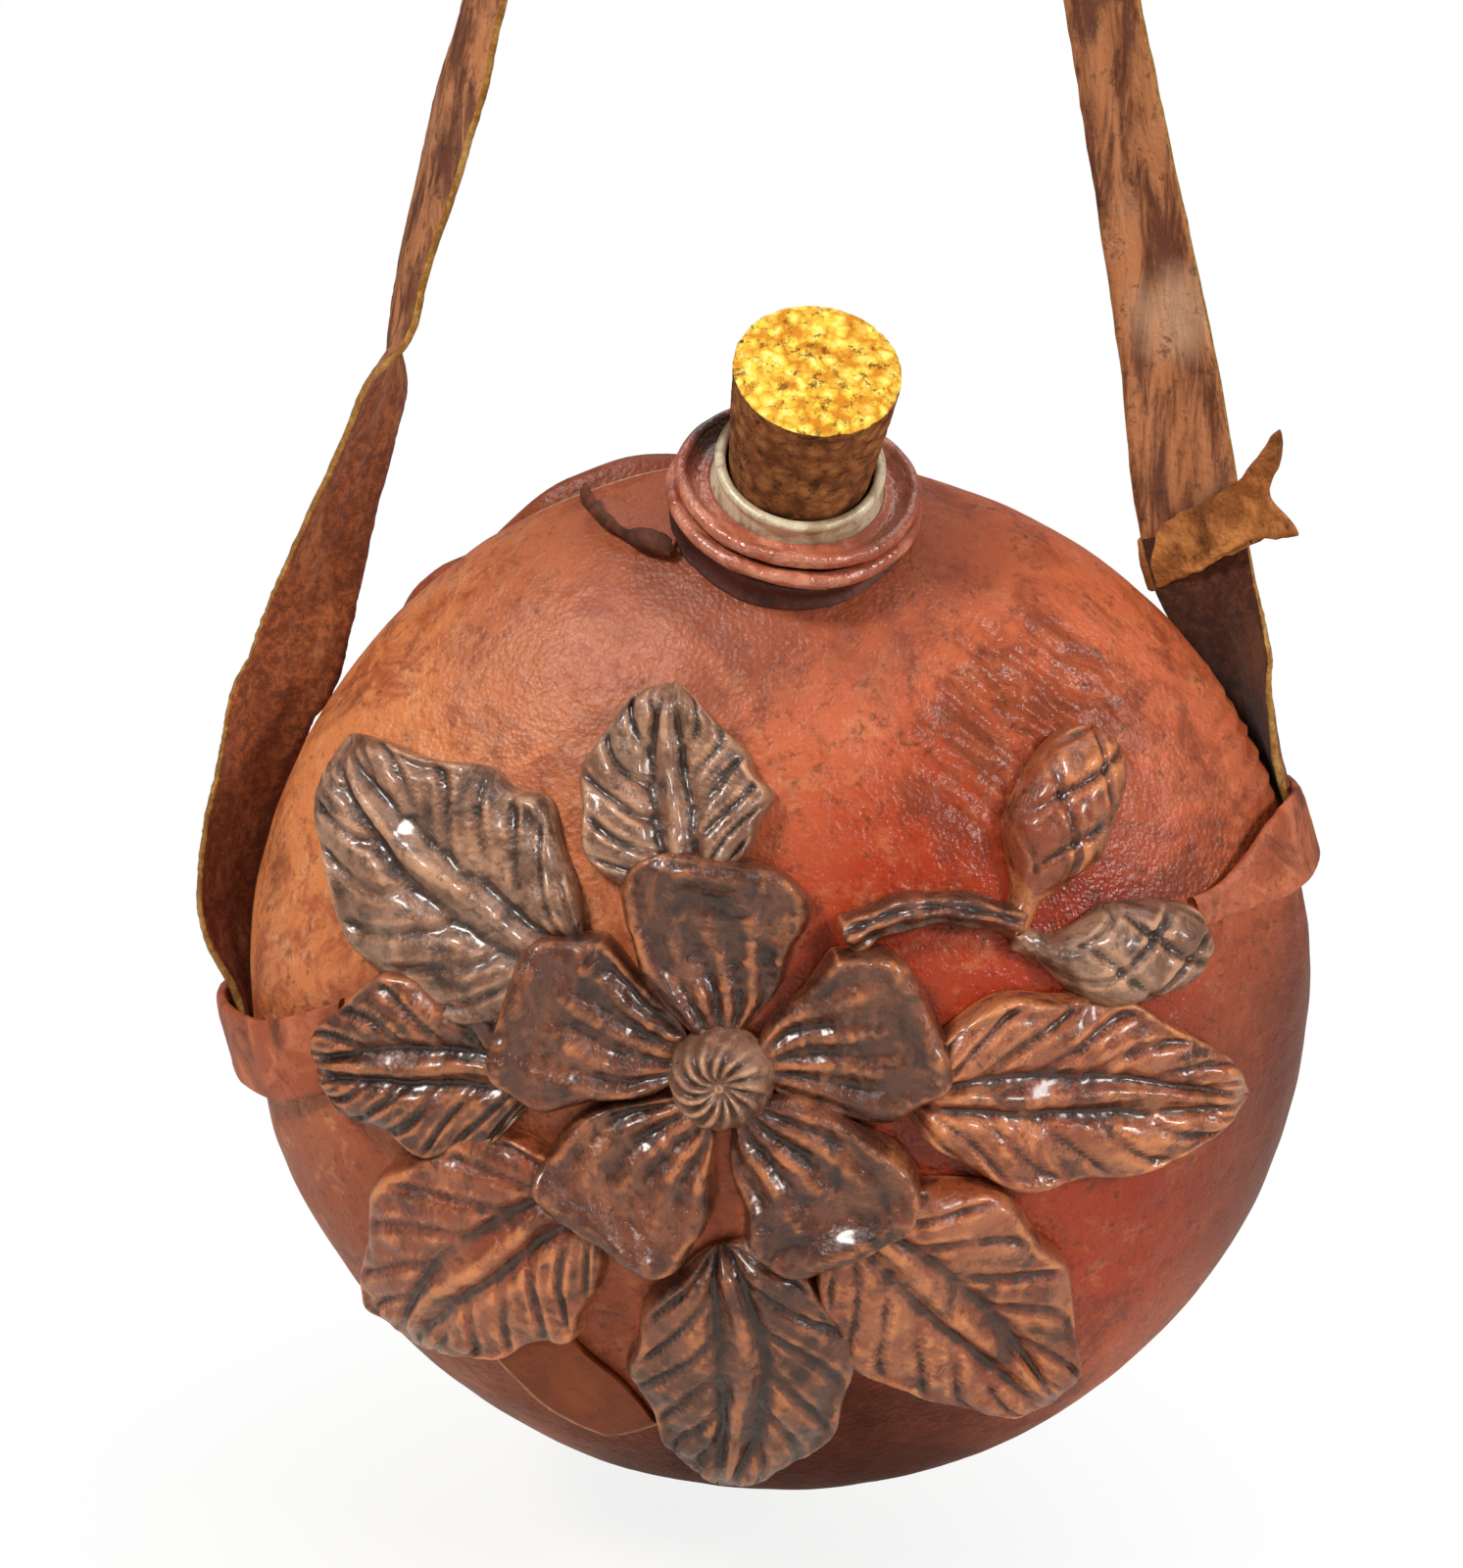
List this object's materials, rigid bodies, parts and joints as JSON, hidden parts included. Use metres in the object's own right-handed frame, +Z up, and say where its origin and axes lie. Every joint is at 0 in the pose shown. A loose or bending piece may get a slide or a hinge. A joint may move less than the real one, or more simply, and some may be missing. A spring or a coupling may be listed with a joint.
{
  "type": "gourd water bottle",
  "caption": "Flat round canteen: hollow gourd in moulded leather with leaf relief, corked neck, side loops and a hanging shoulder strap.",
  "frame": {"origin": "the place at the top of the strap where it bears on its hook", "axes": "+Z up along the hanging direction, -Y towards the front with the neck and the relief, +X to the right as seen from the front"},
  "size_m": [0.2288, 0.1237, 0.509],
  "materials": {
    "gourd": "dry",
    "body_leather": "waxed",
    "patch_leather": "waxed",
    "collar_leather": "burnished",
    "loop_leather": "waxed",
    "strap_leather": "rough",
    "relief_leather": "burnished",
    "mouth_ring": "dull",
    "cork": "granular"
  },
  "bodies": {
    "strap": {"shoulder_strap": "strap_leather"},
    "bottle": {"back_cover": "body_leather", "blossom_button": "relief_leather", "bud_lower": "relief_leather", "bud_stem": "relief_leather", "bud_upper": "relief_leather", "collar_flap": "collar_leather", "collar_lower_roll": "collar_leather", "collar_upper_roll": "collar_leather", "collar_wall": "collar_leather", "collar_washer": "collar_leather", "front_cover": "body_leather", "gourd_shell": "gourd", "leaf_bottom": "relief_leather", "leaf_left": "relief_leather", "leaf_lower_left": "relief_leather", "leaf_lower_right": "relief_leather", "leaf_right": "relief_leather", "leaf_top": "relief_leather", "leaf_upper_left": "relief_leather", "left_loop": "loop_leather", "mouth_ring": "mouth_ring", "petal_1": "relief_leather", "petal_2": "relief_leather", "petal_3": "relief_leather", "petal_4": "relief_leather", "petal_5": "relief_leather", "right_loop": "loop_leather", "side_patch": "patch_leather"},
    "cork": {"cork_stopper": "cork"},
    "keeper": {"strap_keeper": "strap_leather"}
  },
  "joints": [
    {"name": "bottle_swing", "type": "hinge", "parent": "strap", "child": "bottle", "pos_m": [-0.1208, 0, -0.402], "axis": [0.9867, 0, 0.1623], "range_deg": [-20, 20]},
    {"name": "cork_pull", "type": "slide", "parent": "bottle", "child": "cork", "axis": [0.1064, -0.7331, 0.6718], "range_m": [0, 0.06]},
    {"name": "keeper_slide", "type": "slide", "parent": "strap", "child": "keeper", "axis": [-0.1998, 0, 0.9798], "range_m": [0, 0.024]}
  ]
}
